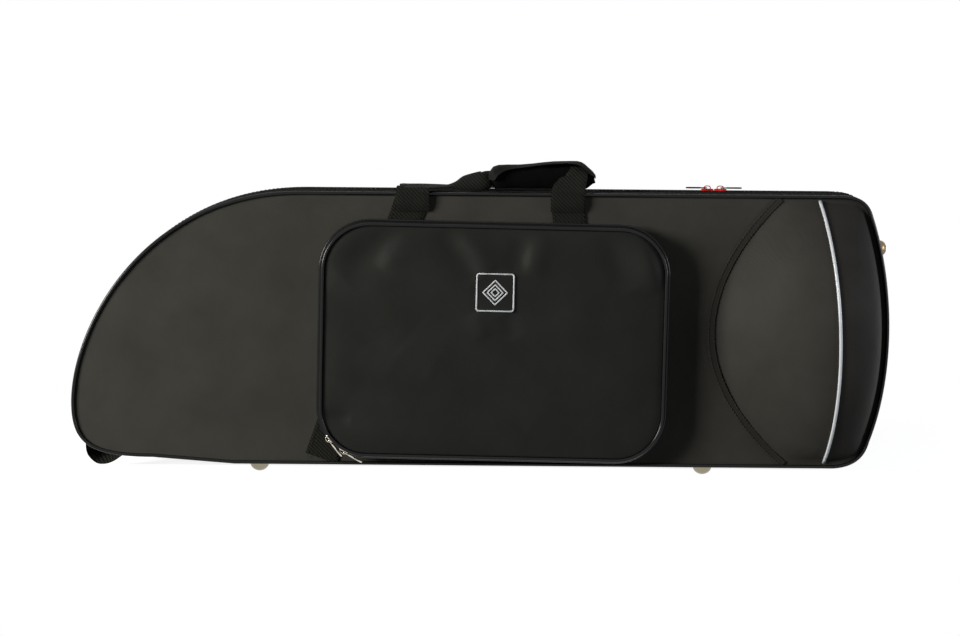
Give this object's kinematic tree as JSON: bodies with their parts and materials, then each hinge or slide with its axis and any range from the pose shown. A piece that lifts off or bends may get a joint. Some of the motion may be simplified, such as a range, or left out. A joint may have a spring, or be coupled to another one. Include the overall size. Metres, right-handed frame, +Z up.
{
  "type": "trombone case",
  "caption": "Shaped soft case for a tenor trombone: a slim body with a bulged bell end, zipped lid, front pocket, folded webbing handles and padded inside.",
  "frame": {"origin": "on the floor under the middle of the case, at the parting plane of lid and base", "axes": "+X towards the bell end, +Y towards the base's back, -Y the lid's front with the pocket, +Z up towards the handles"},
  "size_m": [0.962, 0.2638, 0.3692],
  "materials": {
    "shell foam": "pressed foam board",
    "nylon": "ballistic nylon, dull",
    "leather": "smooth coated leathercloth",
    "webbing": "coarse woven webbing",
    "trim": "glossy piping",
    "white trim": "glossy white piping",
    "plush": "short pile plush",
    "coated fabric": "soft coated fabric",
    "nickel": "bright nickel",
    "red metal": "gloss red",
    "black plastic": "moulded",
    "foam block": "dense foam",
    "zip": "zip tape with coil"
  },
  "bodies": {
    "base": {"base_shell": "shell foam", "base_cover": "nylon", "base_end_cover": "leather", "base_edge_piping": "trim", "base_end_piping": "white trim", "base_curved_seam": "nylon", "base_zip_tape": "zip", "base_hinge_tape": "nylon", "base_left_strap": "webbing", "base_right_strap": "webbing", "base_left_foot": "nickel", "base_right_foot": "nickel", "base_end_foot": "nickel", "base_insert": "plush", "mouthpiece_block": "foam block", "bell_saddle": "foam block"},
    "lid": {"lid_shell": "shell foam", "lid_cover": "nylon", "lid_end_cover": "leather", "lid_edge_piping": "trim", "lid_end_piping": "white trim", "lid_curved_seam": "nylon", "lid_zip_tape": "zip", "lid_hinge_tape": "nylon", "lid_left_strap": "webbing", "lid_right_strap": "webbing", "lid_left_foot": "nickel", "lid_right_foot": "nickel", "lid_end_foot": "nickel", "lid_corner_loop": "webbing", "lid_insert": "plush", "clip_screw_1": "nickel", "clip_screw_2": "nickel", "pocket_side_wall": "coated fabric", "pocket_zip": "zip"},
    "pocket_flap": {"pocket_panel": "coated fabric", "pocket_piping": "trim", "pocket_badge": "webbing"},
    "accessory_flap": {"accessory_lid": "plush", "accessory_tab": "webbing"},
    "front_grip": {"front_handle": "webbing", "grip_wrap": "coated fabric"},
    "rear_grip": {"rear_handle": "webbing"},
    "slide_clip_1": {"slide_clip_1": "black plastic"},
    "slide_clip_2": {"slide_clip_2": "black plastic"},
    "main_slider_1": {"main_slider_1": "red metal"},
    "main_slider_2": {"main_slider_2": "red metal"},
    "main_pull_1": {"main_pull_1": "black plastic"},
    "main_pull_2": {"main_pull_2": "black plastic"},
    "pocket_slider_1": {"pocket_slider_1": "nickel"},
    "pocket_slider_2": {"pocket_slider_2": "nickel"},
    "pocket_pull_1": {"pocket_pull_1": "nickel"},
    "pocket_pull_2": {"pocket_pull_2": "nickel"}
  },
  "joints": [
    {"name": "lid_open", "type": "hinge", "parent": "base", "child": "lid", "pos_m": [0, 0, 0.0106], "axis": [1, 0, 0], "range_deg": [0, 100]},
    {"name": "pocket_open", "type": "hinge", "parent": "lid", "child": "pocket_flap", "pos_m": [0.01326, -0.09345, 0.02332], "axis": [0.9999, 0, -0.0148], "range_deg": [0, 90]},
    {"name": "accessory_open", "type": "hinge", "parent": "base", "child": "accessory_flap", "pos_m": [-0.31188, 0.005, 0.0482], "axis": [1, 0, 0], "range_deg": [0, 90]},
    {"name": "front_handle_lift", "type": "hinge", "parent": "lid", "child": "front_grip", "pos_m": [0.015, -0.0698, 0.312], "axis": [1, 0, 0], "range_deg": [0, 100]},
    {"name": "rear_handle_lift", "type": "hinge", "parent": "base", "child": "rear_grip", "pos_m": [0.015, 0.0698, 0.312], "axis": [-1, 0, 0], "range_deg": [0, 100]},
    {"name": "slide_clip_1_turn", "type": "hinge", "parent": "lid", "child": "slide_clip_1", "pos_m": [-0.2816, -0.0032, 0.19042], "axis": [0, 1, 0], "range_deg": [0, 90]},
    {"name": "slide_clip_2_turn", "type": "hinge", "parent": "lid", "child": "slide_clip_2", "pos_m": [0.0404, -0.0032, 0.19042], "axis": [0, 1, 0], "range_deg": [0, 90]},
    {"name": "main_zip_1", "type": "slide", "parent": "base", "child": "main_slider_1", "axis": [-1, 0, 0], "range_m": [0, 0.1]},
    {"name": "main_pull_1_swing", "type": "hinge", "parent": "main_slider_1", "child": "main_pull_1", "pos_m": [0.26925, 0, 0.339], "axis": [0, 1, 0], "range_deg": [0, 95]},
    {"name": "main_zip_2", "type": "slide", "parent": "base", "child": "main_slider_2", "axis": [1, 0, 0], "range_m": [0, 0.1]},
    {"name": "main_pull_2_swing", "type": "hinge", "parent": "main_slider_2", "child": "main_pull_2", "pos_m": [0.2864, 0, 0.339], "axis": [0, -1, 0], "range_deg": [0, 95]},
    {"name": "pocket_zip_1", "type": "hinge", "parent": "lid", "child": "pocket_slider_1", "pos_m": [-0.13088, -0.0888, 0.08216], "axis": [0, 1, 0], "range_deg": [0, 38]},
    {"name": "pocket_pull_1_swing", "type": "hinge", "parent": "pocket_slider_1", "child": "pocket_pull_1", "pos_m": [-0.17589, -0.0888, 0.04448], "axis": [0, 1, 0], "range_deg": [0, 100]},
    {"name": "pocket_zip_2", "type": "hinge", "parent": "lid", "child": "pocket_slider_2", "pos_m": [-0.13088, -0.0888, 0.08216], "axis": [0, -1, 0], "range_deg": [0, 24]},
    {"name": "pocket_pull_2_swing", "type": "hinge", "parent": "pocket_slider_2", "child": "pocket_pull_2", "pos_m": [-0.1585, -0.0888, 0.03036], "axis": [0, 1, 0], "range_deg": [0, 45]}
  ],
  "couplings": [
    {"joint": "accessory_open", "follows": "lid_open", "ratio": 0.9}
  ]
}
